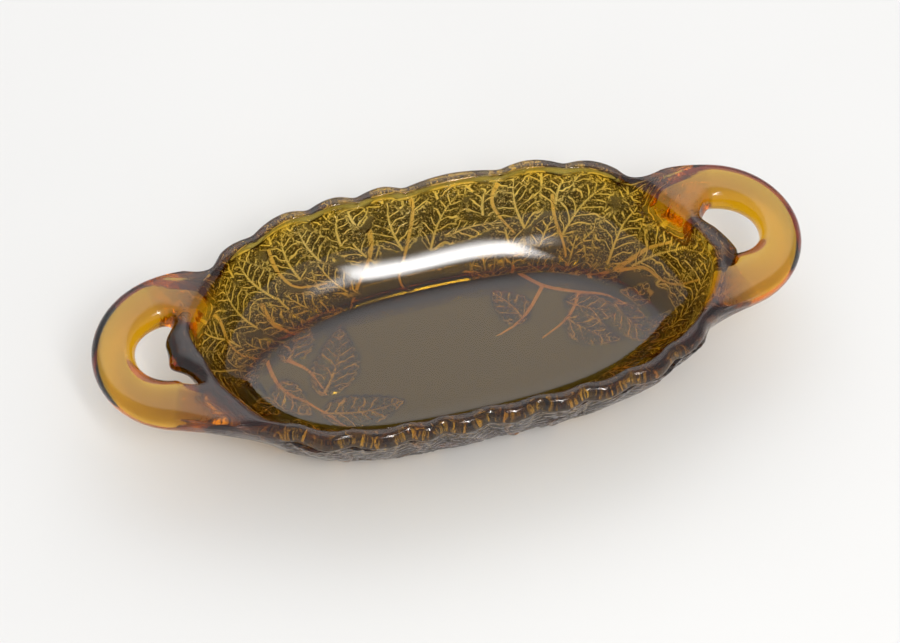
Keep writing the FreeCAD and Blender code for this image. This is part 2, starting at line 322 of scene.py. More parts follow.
# Twigs on the wall: width, then points (round the rim, down from the lip).
WALL_TWIGS = (
    (1.5, (38.0, 43.0), (28.0, 35.0), (23.0, 30.0), (15.0, 31.0), (9.0, 28.0), (4.0, 19.0)),
    (1.8, (32.0, 38.0), (27.0, 27.0), (25.0, 22.0), (19.0, 15.0)),
    (1.4, (84.0, 3.0), (86.0, 11.0), (82.0, 19.0), (76.0, 26.0)),
    (1.3, (64.0, 12.0), (62.0, 21.0), (56.0, 30.0), (50.0, 40.0)),
    (1.6, (74.0, 40.0), (72.0, 47.0), (62.0, 54.0), (50.0, 56.0)),
    (1.4, (113.0, 2.0), (112.0, 9.0), (117.0, 26.0), (124.0, 38.0), (120.0, 44.0)),
    (1.3, (106.0, 36.0), (98.0, 38.0), (90.0, 41.0), (82.0, 48.0)),
    (1.7, (128.0, 14.0), (129.0, 23.0), (138.0, 34.0), (150.0, 44.0)),
    (1.5, (163.0, 8.0), (164.0, 20.0), (161.0, 28.0), (150.0, 30.0)),
    (1.8, (176.0, 26.0), (179.0, 36.0), (176.0, 48.0), (166.0, 56.0)),
    (1.6, (192.0, 6.0), (193.0, 18.0), (199.0, 30.0), (198.0, 42.0)),
)

# Leaves on the underside, in plan: (x, y of the root, direction, length, width). The twigs' points are in
# plan too.
BASE_LEAVES = (
    (-57.0, 10.0, 68.0, 20.0, 12.0),
    (-48.0, -6.0, 66.0, 28.0, 15.0),
    (-50.0, -13.0, -4.0, 28.0, 13.0),
    (-62.0, 3.0, -62.0, 18.0, 10.0),
    (26.0, 6.0, 118.0, 17.0, 12.0),
    (42.0, 10.5, -24.0, 20.0, 12.0),
    (40.0, 4.0, -40.0, 21.0, 12.0),
    (58.0, 6.0, -60.0, 24.0, 12.0),
)
BASE_TWIGS = (
    (1.5, (-64.0, 13.0), (-63.0, 4.5), (-60.0, -2.5), (-52.0, -9.0), (-44.0, -20.0)),
    (1.3, (-57.0, 11.0), (-50.0, 5.0), (-47.0, -6.0)),
    (1.5, (30.0, 27.0), (36.0, 19.0), (48.0, 13.5), (58.0, 10.0), (64.0, 2.0)),
    (1.3, (36.0, 19.0), (26.0, 7.0), (16.0, 3.0)),
    (1.2, (48.0, 13.5), (42.0, 4.0), (30.0, -2.0)),
)

# Smaller leaves fill in behind those: (spacing round the rim, distance of the roots down from the lip,
# length, width). Between the first two distances round the rim in PLAIN_WALL, none is lower than the third.
FILLING_TIERS = ((10.0, 9.0, 16.0, 12.0), (12.0, 22.0, 19.0, 13.0), (13.0, 35.0, 19.0, 13.0),
                 (14.0, 47.0, 18.0, 12.0))
PLAIN_WALL = (85.0, 145.0, 30.0)
FILLING_SEED = 11
# How far each is nudged round the rim and down, turned in degrees, and made larger or smaller.
ACROSS_JITTER, DOWN_JITTER, TURN_JITTER, SIZE_JITTER = 3.0, 2.0, 28.0, 0.15

# Heights of the relief, in millimetres out of the wall.
GAP_LEVEL, BLADE_LEVEL, EDGE_RISE, VEIN_DROP, TWIG_LEVEL = -0.25, -0.05, 0.35, 0.42, 0.6
# How far down from the top of the wall the relief and the veins start, and over how far they come in.
RELIEF_TOP, VEINS_TOP, PATTERN_FADE = -2.0, -1.5, 2.0
# How much of the painted shade on the outer side is left out at the top of the two tips, and how far down
# that reaches.
TIP_CLEARNESS, TIP_CLEAR_REACH = 0.95, 14.0
# How strong the painted shade on the outer side is at distances down from the top of the wall: it weakens up
# the lip.
PAINTED_SHADE_PLACES, PAINTED_SHADE_LEVELS = (-7.0, -2.5, -0.5), (0.1, 0.65, 1.0)
# Leaves: the bow of the midrib as a share of the length, the teeth of the edge, the distance between side
# veins with their slant and curl, and the widths of a side vein and of the slope at the edge.
LEAF_BOW = 0.07
# A leaf's outline is a sine. These powers move its widest place towards the root and make it fuller.
LEAF_ROOTWARD, LEAF_FULLNESS = 0.72, 0.8
TOOTH_DEPTH, TOOTH_RATE = 0.06, 2.6
VEIN_PITCH, VEIN_SLANT, VEIN_CURL = 3.7, 1.05, 0.045
SIDE_VEIN_WIDTH, LEAF_EDGE_WIDTH = 0.45, 0.9
# How deep a side vein is against the midrib, and by what share of VEIN_PITCH a leaf's halves are out of
# step.
SIDE_VEIN_SHARE, VEIN_STAGGER = 0.8, 0.4
# The midrib's groove: its width at the root, and how much narrower it is at the tip. Then the same for the
# unit in which the material reads the distance from the midrib.
MIDRIB_WIDTH, MIDRIB_TAPER = 0.8, 0.4
ASIDE_WIDTH, ASIDE_TAPER = 1.3, 0.7
# A twig's slopes are cut off below this share of its height.
TWIG_CUT = 0.3
# A distance, in half widths, that is far from any vein or twig.
FAR = 9.0
# How far down from the lip the wall's pattern reaches, round the foot and under the base.
WALL_PATTERN_REACH = 44.0


def rounded_line(points):
    """The same line with its corners cut twice, so that it bends softly."""
    for _ in range(2):
        starts, ends = np.array(points[:-1]), np.array(points[1:])
        cut = np.stack([between(starts, ends, 0.25), between(starts, ends, 0.75)], axis=1).reshape(-1, 2)
        points = [points[0], *map(tuple, cut[1:-1]), points[-1]]
    return points


class Relief:
    """The moulded pattern over a grid: its height, and for the material how far each point is from the
    leaf's midrib, its place between side veins, how far it is from a twig and whether it is on a blade."""

    def __init__(self, shape, ground):
        self.height = np.full(shape, ground)
        self.aside = np.full(shape, FAR)
        self.phase = np.full(shape, 0.5)
        self.twig = np.full(shape, FAR)
        self.blade = np.zeros(shape)

    def press_leaf(self, right, up, direction, length, width):
        """right and up are every point's distances from the leaf's root."""
        near = (np.abs(right) < length) & (np.abs(up) < length)
        right, up = right[near], up[near]
        turn = math.radians(direction)
        forward = (right * math.cos(turn) + up * math.sin(turn)) / length
        clipped = np.clip(forward, 0.0, 1.0)
        bow = LEAF_BOW * length * np.sin(clipped * math.pi)
        signed = up * math.cos(turn) - right * math.sin(turn) + bow
        aside = np.abs(signed)
        teeth = 1.0 + TOOTH_DEPTH * np.sin(forward * length * TOOTH_RATE)
        half = width / 2.0 * np.sin(math.pi * clipped ** LEAF_ROOTWARD) ** LEAF_FULLNESS * teeth
        inside = (forward > 0.0) & (forward < 1.0) & (aside < half)
        edge = np.clip((half - aside) / LEAF_EDGE_WIDTH, 0.0, 1.0)
        vein_start = forward * length - aside * VEIN_SLANT + aside ** 2 * VEIN_CURL
        phase = vein_start / VEIN_PITCH + VEIN_STAGGER * (signed > 0.0)
        off_line = np.abs(phase - np.round(phase)) * VEIN_PITCH
        side_vein = np.exp(-(off_line / SIDE_VEIN_WIDTH) ** 2) * edge
        midrib = np.exp(-(aside / (MIDRIB_WIDTH - MIDRIB_TAPER * clipped)) ** 2)
        lines = np.maximum(side_vein * SIDE_VEIN_SHARE, midrib)
        level = BLADE_LEVEL + EDGE_RISE * edge - VEIN_DROP * lines
        read_aside = aside / (ASIDE_WIDTH - ASIDE_TAPER * clipped)
        fields = ((self.height, level), (self.aside, read_aside), (self.phase, phase), (self.blade, edge),
                  (self.twig, FAR))
        for field, value in fields:
            field[near] = np.where(inside, value, field[near])

    def press_twig(self, right, up, width, points):
        """A raised twig along a line of points, as thick at its start as width and half that at its end."""
        points = rounded_line(points)
        nearest = np.full(right.shape, np.inf)
        for place, (one, two) in enumerate(zip(points, points[1:])):
            step = np.subtract(two, one)
            share = ((right - one[0]) * step[0] + (up - one[1]) * step[1]) / (step @ step)
            share = np.clip(share, 0.0, 1.0)
            far = np.hypot(right - one[0] - share * step[0], up - one[1] - share * step[1])
            slim = 1.0 - 0.5 * (place + share) / (len(points) - 1)
            nearest = np.minimum(nearest, far / slim)
        nearest = np.minimum(nearest / (width / 2.0), FAR)
        lines = np.exp(-nearest ** 2)
        on_twig = lines > TWIG_CUT
        raised = BLADE_LEVEL + (TWIG_LEVEL - BLADE_LEVEL) * lines
        self.height = np.where(on_twig, np.maximum(self.height, raised), self.height)
        self.twig = np.minimum(self.twig, nearest)


def filling_leaves():
    """Leaves in even tiers, each nudged and turned at random, as WALL_LEAVES gives them."""
    random = np.random.default_rng(FILLING_SEED)
    leaves = []
    for spacing, root_down, length, width in reversed(FILLING_TIERS):
        for across in np.arange(0.0, RIM_LENGTH / 2.0, spacing):
            shift, drop, turn, scale = random.uniform(-1.0, 1.0, 4)
            if PLAIN_WALL[0] < across < PLAIN_WALL[1] and root_down > PLAIN_WALL[2]:
                continue
            size = 1.0 + SIZE_JITTER * scale
            leaves.append((across + ACROSS_JITTER * shift, root_down + DOWN_JITTER * drop,
                           90.0 + TURN_JITTER * turn, length * size, width * size))
    return leaves


def wrapped(distance):
    """A distance round the rim, the short way."""
    return (distance + RIM_LENGTH / 2.0) % RIM_LENGTH - RIM_LENGTH / 2.0


def press_pattern(across, down, base, is_base):
    """The pattern over the outer side, as height, aside, phase, twig, blade. base is each point in plan."""
    relief = Relief(across.shape, GAP_LEVEL)
    for root_across, root_down, direction, length, width in filling_leaves() + list(WALL_LEAVES):
        for start in (0.0, RIM_LENGTH / 2.0):
            right = wrapped(across - root_across - start)
            relief.press_leaf(right, root_down - down, direction, length, width)
    for width, *points in WALL_TWIGS:
        for start in (0.0, RIM_LENGTH / 2.0):
            first = points[0][0]
            right = wrapped(across - first - start) + first
            relief.press_twig(right, down, width, points)
    under = Relief(across.shape, TWIG_LEVEL)
    for root_x, root_y, direction, length, width in BASE_LEAVES:
        under.press_leaf(base[..., 0] - root_x, base[..., 1] - root_y, direction, length, width)
    for width, *points in BASE_TWIGS:
        under.press_twig(base[..., 0], base[..., 1], width, points)
    inner = is_base & (down > WALL_PATTERN_REACH)
    return [np.where(inner, getattr(under, name), getattr(relief, name))
            for name in ("height", "aside", "phase", "twig", "blade")]


# ---------------------------------------------------------------- the mesh of the body

# What the material reads at each vertex: the distance from the leaf's midrib, the place between side veins,
# the distance from a twig, how far onto a blade it is, and how much of the outer side's painted shade it
# has.
PATTERN = ("aside", "phase", "twig", "blade", "outer")
NO_PATTERN = (FAR, 0.5, FAR, 0.0, 0.0)


class Mesh:
    """Vertices and faces as they are added, with each vertex's pattern values, named in PATTERN."""

    def __init__(self):
        self.points, self.pattern, self.faces = [], [], []

    def add_points(self, points, pattern=None):
        start = len(self.points)
        self.points.extend(map(tuple, points))
        self.pattern.extend([NO_PATTERN] * len(points) if pattern is None else map(tuple, pattern))
        return np.arange(start, start + len(points))


def row_normals(rows):
    """Outward unit normals of a grid of rows, whose columns close on themselves."""
    along = np.roll(rows, -1, axis=1) - np.roll(rows, 1, axis=1)
    across = np.gradient(rows, axis=0)
    normal = np.cross(along, across)
    return normal / np.maximum(np.linalg.norm(normal, axis=2), 1e-12)[:, :, None]


def relieved_rows(rows, zones):
    """Moves the outer side in and out by the pattern, and gives every point's pattern values."""
    lip, last = first_row(zones, "lip"), first_row(zones, "rim")
    steps = np.linalg.norm(np.diff(rows[:last], axis=0), axis=2).mean(axis=1)
    down = np.concatenate([[0.0], np.cumsum(steps)])
    down = np.broadcast_to((down[lip] - down)[:, None], (last, COLUMNS))
    across = np.broadcast_to(ALONG, down.shape)
    is_base = np.broadcast_to((zones[:last] == "under")[:, None], down.shape)
    height, *values = press_pattern(across, down, rows[:last, :, :2], is_base)
    fade, veined = (np.clip((down - top) / PATTERN_FADE, 0.0, 1.0) for top in (RELIEF_TOP, VEINS_TOP))
    # The base stays flat: its pattern is sunk into it.
    amount = np.where(is_base, np.minimum(height - TWIG_LEVEL, 0.0), height * fade)
    relieved = rows.copy()
    relieved[:last] += row_normals(rows)[:last] * amount[:, :, None]
    relieved[:last, :, 2] = np.maximum(relieved[:last, :, 2], 0.0)
    pattern = np.empty(rows.shape[:2] + (len(PATTERN),))
    pattern[:] = NO_PATTERN
    for place, value in enumerate(values):
        pattern[:last, :, place] = between(NO_PATTERN[place], value, veined)
    # The outer side's painted shade, which weakens up the lip and is left out at the top of the two tips.
    tip = TIPS * np.clip(1.0 - down / TIP_CLEAR_REACH, 0.0, 1.0)
    pattern[:last, :, -1] = np.interp(down, PAINTED_SHADE_PLACES, PAINTED_SHADE_LEVELS) * (1.0 - TIP_CLEARNESS * tip)
    return relieved, pattern


# ---------------------------------------------------------------- handles

# How many columns of the body each root covers.
ROOT_COLUMNS = 34
# How far from the middle line each root stands, by (end, side): 1 is the right end or the back.
ROOT_PLACES = {(1, 1): 20.5, (1, -1): 19.0, (-1, 1): 20.0, (-1, -1): 22.0}
# How far from a joint the blending reaches, how often it is done and how strongly.
BLEND_REACH, BLEND_PASSES, BLEND_STRENGTH = 8.0, 60, 0.6
# How far each handle's bend is moved to the back.
HANDLE_SHIFTS = {1: 4.0, -1: 3.3}
# The half width of each root on the side of the hole, where it meets the bend.
ROOT_INNER_WIDTHS = {(1, 1): 9.0, (1, -1): 13.0, (-1, 1): 10.0, (-1, -1): 9.5}
# How low down the wall the roots reach, and how many rings each root has.
ROOT_LOW_HEIGHT = 20.0
ROOT_RINGS = 12
# The direction in which the roots leave the body: along the dish, and across it.
ROOT_DIRECTION = (0.92, 0.39)
# How much the roots' sides lean in as they leave the body. They lean less at the web, the side towards the
# hole, whose middle and reach are shares of the way round the section.
SIDE_LEAN, WEB_LEAN = 0.55, 0.12
WEB_PLACE, WEB_REACH = 0.78, 0.25
# The leaf under each root: its width, and how many rings apart its side veins are.
ROOT_LEAF_WIDTH, ROOT_VEIN_RINGS = 24.0, 2.6
# Where on the bend the roots end, in degrees either way from its outermost point.
BEND_START = 72.0
BEND_RINGS = 44
# The half width of the handles' flat top, and how far down their widest place is.
FLAT_HALF = 3.7
SHOULDER_DROP = 4.4
# The half width of the bend inside and outside its middle line, and its depth: slim, and stout at the roots.
SLIM_INNER = 6.6
SLIM_OUTER, STOUT_OUTER = HANDLE_WIDTH / 2.0, 7.6
SLIM_DEPTH, STOUT_DEPTH = 11.0, 12.5


def section_side(reach, depth):
    """Half of the handle's section, as (out, down): from its flat top's middle over the side, which stands
    out by reach, to the lowest point."""
    turn = np.linspace(0.0, math.pi / 2.0, 25)
    shoulder = np.column_stack([FLAT_HALF + (reach - FLAT_HALF) * np.sin(turn),
                                SHOULDER_DROP * (1.0 - np.cos(turn))])
    below = np.column_stack([reach * np.cos(turn), SHOULDER_DROP + (depth - SHOULDER_DROP) * np.sin(turn)])
    return np.concatenate([[(0.0, 0.0)], shoulder, below[1:]])


def section(shares, inner, outer, depth):
    """Points of the handle's section: (out from the middle line, down from the top) at shares of the way
    round, from the middle of the flat top over the outer side, the underside and the inner side."""
    inner_side = section_side(inner, depth)[::-1] * (-1.0, 1.0)
    whole = np.concatenate([section_side(outer, depth), inner_side[1:]])
    length = np.concatenate([[0.0], np.cumsum(np.hypot(*np.diff(whole, axis=0).T))])
    at = shares * length[-1]
    return np.column_stack([np.interp(at, length, whole[:, 0]), np.interp(at, length, whole[:, 1])])


def root_loop(grid, zones, rows, middle, outer_step):
    """The edge of the opening where a handle's root joins, from the middle of its top over the outer side.

    Returns it with the cells inside the opening and the number of rows on each of its sides."""
    top = first_row(zones, "rim")
    walls = np.nonzero(zones == "wall")[0]
    low = int(walls[np.argmin(np.abs(rows[walls, :, 2].mean(axis=1) - ROOT_LOW_HEIGHT))])
    half = ROOT_COLUMNS // 2

    def column(offset):
        return (middle + offset * outer_step) % COLUMNS

    loop = [grid[top, column(offset)] for offset in range(0, half)]
    loop += [grid[row, column(half)] for row in range(top, low, -1)]
    loop += [grid[low, column(offset)] for offset in range(half, -half, -1)]
    loop += [grid[row, column(-half)] for row in range(low, top)]
    loop += [grid[top, column(offset)] for offset in range(-half, 0)]
    first = 0 if outer_step > 0 else 1
    hole = [(row, column(offset + first)) for row in range(low, top) for offset in range(-half, half)]
    return loop, hole, top - low


def loop_shares(count, side_count):
    """Where each point of a root's loop goes round the section: corners to fixed shares, even between.

    count is how many points there are, and side_count how many of them run down each side."""
    half = ROOT_COLUMNS // 2
    top_share, low_share = 0.125, 0.36
    corners = (0, half, half + side_count, half + side_count + ROOT_COLUMNS,
               half + 2 * side_count + ROOT_COLUMNS, count)
    values = (0.0, top_share, low_share, 1.0 - low_share, 1.0 - top_share, 1.0)
    return np.interp(np.arange(count), corners, values)


def handle_frame(turn, end, side):
    """Centre, direction along the path and outward direction of the handle, at this angle of its bend."""
    outward_plan = np.array([end * math.cos(turn), math.sin(turn), 0.0])
    centre = np.array([end * BEND_CENTRE, HANDLE_SHIFTS[end], OVERALL_HEIGHT]) + HANDLE_BEND * outward_plan
    forward = side * np.array([end * math.sin(turn), -math.cos(turn), 0.0])
    return centre, forward, outward_plan


def bend_ring(turn, end, shares):
    """The ring of the handle at an angle of its bend: stout at the roots, slim at the middle of the bend."""
    centre, _, out = handle_frame(turn, end, 1)
    side = 1 if turn > 0.0 else -1
    root = math.sin(turn) ** 2
    inner = between(SLIM_INNER, ROOT_INNER_WIDTHS[end, side], root ** 1.5)
    outer = between(SLIM_OUTER, STOUT_OUTER, root)
    flat = section(shares, inner, outer, between(SLIM_DEPTH, STOUT_DEPTH, root))
    return centre + out * flat[:, :1] - np.array([0.0, 0.0, 1.0]) * flat[:, 1:]


def root_pattern(start, shares, place):
    """Pattern values on a root's ring: a leaf lies under the root, painted shade darkens its lower sides,
    and its top is clear.
    """
    below = np.clip((OVERALL_HEIGHT - start[:, 2]) / 4.0, 0.0, 1.0) * (1.0 - place / ROOT_RINGS)
    aside = np.abs(shares - 0.5) * ROOT_LEAF_WIDTH
    phase = (place - aside) / ROOT_VEIN_RINGS
    # outer is painted shade, half as strong as the blade.
    values = {"aside": aside, "phase": phase, "twig": np.full(len(start), FAR), "blade": below,
              "outer": 0.5 * below}
    return np.column_stack([values[name] for name in PATTERN])


def root_rings(start, shares, end, side):
    """Rings that lead in smooth curves from the opening in the body, start, to the start of the bend."""
    turn = side * math.radians(BEND_START)
    finish = bend_ring(turn, end, shares)
    forward = handle_frame(turn, end, side)[1]
    reach = np.linalg.norm(finish - start, axis=1)[:, None]
    inward = start.mean(axis=0) - start
    inward /= np.linalg.norm(inward, axis=1)[:, None]
    away = np.array([end * ROOT_DIRECTION[0], side * ROOT_DIRECTION[1], 0.0])
    on_top = np.clip(1.0 - (OVERALL_HEIGHT - start[:, 2:]), 0.0, 1.0)
    web = np.clip(1.0 - np.abs(shares - WEB_PLACE)[:, None] / WEB_REACH, 0.0, 1.0)
    lean = between(SIDE_LEAN, WEB_LEAN, web) * (1.0 - on_top)
    leave = (away * (1.0 - lean) + inward * lean) * reach
    leave[:, 2:] *= 1.0 - on_top
    arrive = forward * reach
    rings = []
    for place in range(1, ROOT_RINGS):
        share = place / ROOT_RINGS
        start_weight = 2.0 * share ** 3 - 3.0 * share ** 2 + 1.0
        leave_weight = share ** 3 - 2.0 * share ** 2 + share
        arrive_weight = share ** 3 - share ** 2
        rings.append(start_weight * start + (1.0 - start_weight) * finish + leave_weight * leave
                     + arrive_weight * arrive)
    return rings


def blend_joints(mesh, joints):
    """Rounds off the creases where the handles' roots leave the body. joints lists the vertices on them."""
    points = np.array(mesh.points)
    tree = KDTree(len(joints))
    for place, joint in enumerate(joints):
        tree.insert(points[joint], place)
    tree.balance()
    distance = np.array([tree.find(point)[2] for point in points])
    amount = np.clip(1.0 - distance / BLEND_REACH, 0.0, 1.0)[:, None]
    pairs = np.array([(one, two) for face in mesh.faces for one, two in zip(face, (*face[1:], face[0]))])
    count = np.maximum(np.bincount(pairs[:, 0], minlength=len(points)), 1)[:, None]
    for _ in range(BLEND_PASSES):
        total = np.column_stack([np.bincount(pairs[:, 0], points[pairs[:, 1], axis], len(points))
                                 for axis in range(3)])
        points += BLEND_STRENGTH * amount * (total / count - points)
    points[:, 2] = np.minimum(points[:, 2], OVERALL_HEIGHT)
    mesh.points = list(map(tuple, points))


def row_spacings(zones):
    """How many columns apart each row's points are: two on the base and inside the bowl, else one."""
    spacings = np.where(zones == "under", 2, 1)
    spacings[first_row(zones, "rim") + RIM_TURN:] = 2
    return spacings


def body_cells(grid, spacings):
    """The faces between the grid's rows, by (row, column). Where a fine row meets a coarse one, they have
    five corners."""
    cells = {}
    for row in range(len(grid) - 1):
        low_step, high_step = spacings[row:row + 2]
        step = max(low_step, high_step)
        for column in range(0, COLUMNS, step):
            low = [grid[row, (column + offset) % COLUMNS] for offset in range(0, step + 1, low_step)]
            high = [grid[row + 1, (column + offset) % COLUMNS] for offset in range(0, step + 1, high_step)]
            cells[row, column] = (*low, *reversed(high))
    return cells


def close_row(mesh, points, loop, pattern, flip):
    """Closes the innermost row of the base or the floor with a fan of triangles round its middle."""
    centre = mesh.add_points([points.mean(axis=0)], [pattern])[0]
    for one, two in zip(loop, np.roll(loop, -1)):
        mesh.faces.append((centre, two, one) if flip else (centre, one, two))


def add_handle(mesh, end, openings, shares):
    """One handle, from its back root's opening round the bend to its front root's. end is 1 at the right."""
    points = np.array(mesh.points)
    rings = {}
    for side in (1, -1):
        start = points[openings[side]]
        rings[side] = [openings[side]]
        for place, ring_points in enumerate(root_rings(start, shares, end, side)):
            rings[side].append(mesh.add_points(ring_points, root_pattern(start, shares, place)))
    bend = []
    for turn in np.radians(np.linspace(BEND_START, -BEND_START, BEND_RINGS + 1)):
        bend.append(mesh.add_points(bend_ring(turn, end, shares)))
    path = rings[1] + bend + rings[-1][::-1]
    for one, two in zip(path, path[1:]):
        for corners in zip(one, np.roll(one, -1), np.roll(two, -1), two):
            mesh.faces.append(corners if end < 0 else corners[::-1])


def build_dish():
    """The whole dish: the grid of the body with an opening cut for each root, and the two handles."""
    rows, zones = body_rows()
    rows, pattern = relieved_rows(rows, zones)
    spacings = row_spacings(zones)
    mesh = Mesh()
    grid = np.full(rows.shape[:2], -1)
    for row, spacing in enumerate(spacings):
        grid[row, ::spacing] = mesh.add_points(rows[row, ::spacing], pattern[row, ::spacing])
    cells = body_cells(grid, spacings)

    inner_edge = rows[first_row(zones, "rim") + RIM_TURN, :, :2]
    joints = []
    for end in (1, -1):
        at_end = np.nonzero(np.sign(inner_edge[:, 0]) == end)[0]
        openings = {}
        for side in (1, -1):
            off_place = np.abs(inner_edge[at_end, 1] - side * ROOT_PLACES[end, side])
            middle = int(at_end[np.argmin(off_place)])
            openings[side], hole, side_count = root_loop(grid, zones, rows, middle, end * side)
            for cell in hole:
                del cells[cell]
            joints += openings[side]
        add_handle(mesh, end, openings, loop_shares(len(openings[1]), side_count))

    mesh.faces.extend(cells.values())
    close_row(mesh, rows[0], grid[0, ::spacings[0]], pattern[0, 0], True)
    close_row(mesh, rows[-1], grid[-1, ::spacings[-1]], pattern[-1, 0], False)
    blend_joints(mesh, joints)
    return mesh


def make_object(mesh, name):
    """A Blender object of the mesh, without vertices that no face uses, with the pattern as attributes."""
    points = np.array(mesh.points)
    used = np.zeros(len(points), bool)
    for face in mesh.faces:
        used[list(face)] = True
    new_index = np.cumsum(used) - 1
    faces = [tuple(int(new_index[corner]) for corner in face) for face in mesh.faces]
    data = bpy.data.meshes.new(name)
    data.from_pydata((points[used] * METRES).tolist(), [], faces)
    pattern = np.array(mesh.pattern, dtype=np.float32)[used]
    for place, label in enumerate(PATTERN):
        layer = data.attributes.new(label, "FLOAT", "POINT")
        layer.data.foreach_set("value", np.ascontiguousarray(pattern[:, place]))
    data.validate()
    data.shade_smooth()
    piece = bpy.data.objects.new(name, data)
    bpy.context.collection.objects.link(piece)
    return piece


# ---------------------------------------------------------------- materials

# Tints on the outer side, which paint light and shade. Light that passes through is tinted by their square
# roots.
CLEAR = (1.0, 1.0, 1.0)
# Painted shade: on the outer side, and darker on the leaf blades.
OUTER_PAINTED_SHADE = (0.027, 0.0175, 0.0085)
BLADE_PAINTED_SHADE = (0.0075, 0.0049, 0.002)
# Painted golden glints: on the stipple, which also has a real bump, on the veins and the leaf edges, and on
# the twigs.
STIPPLE_PAINTED_GLINT = (0.46, 0.28, 0.075)
VEIN_PAINTED_GLINT = (1.0, 0.68, 0.21)
TWIG_PAINTED_GLINT = (0.90, 0.46, 0.11)
# What the glass lets through, and how strongly it takes out the rest: thicker places are deeper.
GLASS_COLOUR, GLASS_DENSITY = (0.92, 0.79, 0.0), 400.0
# Lumps to the metre: of the side veins' waver, of the patches in which veins and edges show, and of the
# stipple.
WAVER_SCALE, PATCH_SCALE, GRAIN_SCALE = 220.0, 170.0, 1500.0
FLOOR_COLOURS = ((0.76, 0.75, 0.73), (0.80, 0.79, 0.77))


def node(tree, kind, **values):
    """A new node with these values, each set on the node itself or on its input of that name."""
    made = tree.nodes.new(kind)
    for name, value in values.items():
        if hasattr(made, name):
            setattr(made, name, value)
        else:
            made.inputs[name].default_value = value
    return made


def mixed(tree, factor, low, high):
    """A colour that goes from low to high with factor. low and high are colours or sockets."""
    mix = node(tree, "ShaderNodeMix", data_type="RGBA")
    tree.links.new(factor, mix.inputs["Factor"])
    for socket, value in ((mix.inputs[6], low), (mix.inputs[7], high)):
        if isinstance(value, tuple):
            socket.default_value = (*value, 1.0)
        else:
            tree.links.new(value, socket)
    return mix.outputs[2]


def computed(tree, operation, *values):
    """A number worked out from other numbers or sockets."""
    made = node(tree, "ShaderNodeMath", operation=operation)
    for socket, value in zip(made.inputs, values):
        if isinstance(value, (int, float)):
            socket.default_value = value
        else:
            tree.links.new(value, socket)
    return made.outputs["Value"]


def fading(tree, value, full, gone):
    """1 where value is at full, easing to 0 where it is at gone."""
    fade = node(tree, "ShaderNodeMapRange", interpolation_type="SMOOTHSTEP")
    tree.links.new(value, fade.inputs["Value"])
    low_first = full < gone
    fade.inputs["From Min"].default_value = min(full, gone)
    fade.inputs["From Max"].default_value = max(full, gone)
    fade.inputs["To Min"].default_value = 1.0 if low_first else 0.0
    fade.inputs["To Max"].default_value = 0.0 if low_first else 1.0
    return fade.outputs["Result"]


def object_noise(tree, scale):
    """Noise that keeps to the piece, with about this many lumps to the metre."""
    noise = node(tree, "ShaderNodeTexNoise", Scale=scale, Detail=1.5)
    place = node(tree, "ShaderNodeTexCoord")
    tree.links.new(place.outputs["Object"], noise.inputs["Vector"])
    return noise.outputs["Fac"]


def amber_glass():
    """Clear amber glass: painted shade darkens the outer side and the stippled leaf blades, and painted
    golden glints lie on the stipple, the veins and the twigs.
    """
    material = bpy.data.materials.new("amber_glass")
    material.use_nodes = True
    tree = material.node_tree
    shader = tree.nodes["Principled BSDF"]
    shader.inputs["Transmission Weight"].default_value = 1.0
    shader.inputs["Roughness"].default_value = 0.03
    shader.inputs["IOR"].default_value = 1.5
    pattern = {name: node(tree, "ShaderNodeAttribute", attribute_name=name).outputs["Fac"]
               for name in PATTERN}
    scales = (WAVER_SCALE, PATCH_SCALE, GRAIN_SCALE)
    waver, patches, grain = (object_noise(tree, scale) for scale in scales)

    # The side veins waver and break off in patches, and the edges of the leaves show in patches too. These
    # masks carry the painted golden glints and the bump.
    phase = computed(tree, "ADD", pattern["phase"], computed(tree, "MULTIPLY", waver, 1.1))
    from_vein = computed(tree, "PINGPONG", phase, 0.5)
    unbroken = fading(tree, patches, 0.48, 0.36)
    side_veins = computed(tree, "MULTIPLY", fading(tree, from_vein, 0.05, 0.15), unbroken)
    midrib = fading(tree, pattern["aside"], 0.2, 0.55)
    inner_veins = computed(tree, "MULTIPLY", computed(tree, "MAXIMUM", side_veins, midrib), pattern["blade"])
    from_edge = computed(tree, "ABSOLUTE", computed(tree, "SUBTRACT", pattern["blade"], 0.4))
    lit = fading(tree, patches, 0.62, 0.4)
    leaf_edge = computed(tree, "MULTIPLY", fading(tree, from_edge, 0.1, 0.35), lit)
    vein = computed(tree, "MAXIMUM", inner_veins, computed(tree, "MULTIPLY", leaf_edge, 0.7))
    twig = fading(tree, pattern["twig"], 0.75, 1.3)
    stipple = computed(tree, "MULTIPLY", fading(tree, grain, 0.65, 0.53), pattern["blade"])

    # Each tint lies over the one before it, from the clear glass through the painted shade up to the painted
    # glints on the twigs.
    shaded_glass = mixed(tree, pattern["outer"], CLEAR, OUTER_PAINTED_SHADE)
    blades = mixed(tree, pattern["blade"], shaded_glass, BLADE_PAINTED_SHADE)
    stippled = mixed(tree, stipple, blades, STIPPLE_PAINTED_GLINT)
    veined = mixed(tree, vein, stippled, VEIN_PAINTED_GLINT)
    tree.links.new(mixed(tree, twig, veined, TWIG_PAINTED_GLINT), shader.inputs["Base Color"])
    raised = computed(tree, "ADD", computed(tree, "MULTIPLY", stipple, 0.4), vein)
    bump = node(tree, "ShaderNodeBump", Strength=0.6, Distance=0.0003)
    tree.links.new(raised, bump.inputs["Height"])
    tree.links.new(bump.outputs["Normal"], shader.inputs["Normal"])
    absorb = node(tree, "ShaderNodeVolumeAbsorption", Density=GLASS_DENSITY)
    absorb.inputs["Color"].default_value = (*GLASS_COLOUR, 1.0)
    tree.links.new(absorb.outputs["Volume"], tree.nodes["Material Output"].inputs["Volume"])
    return material


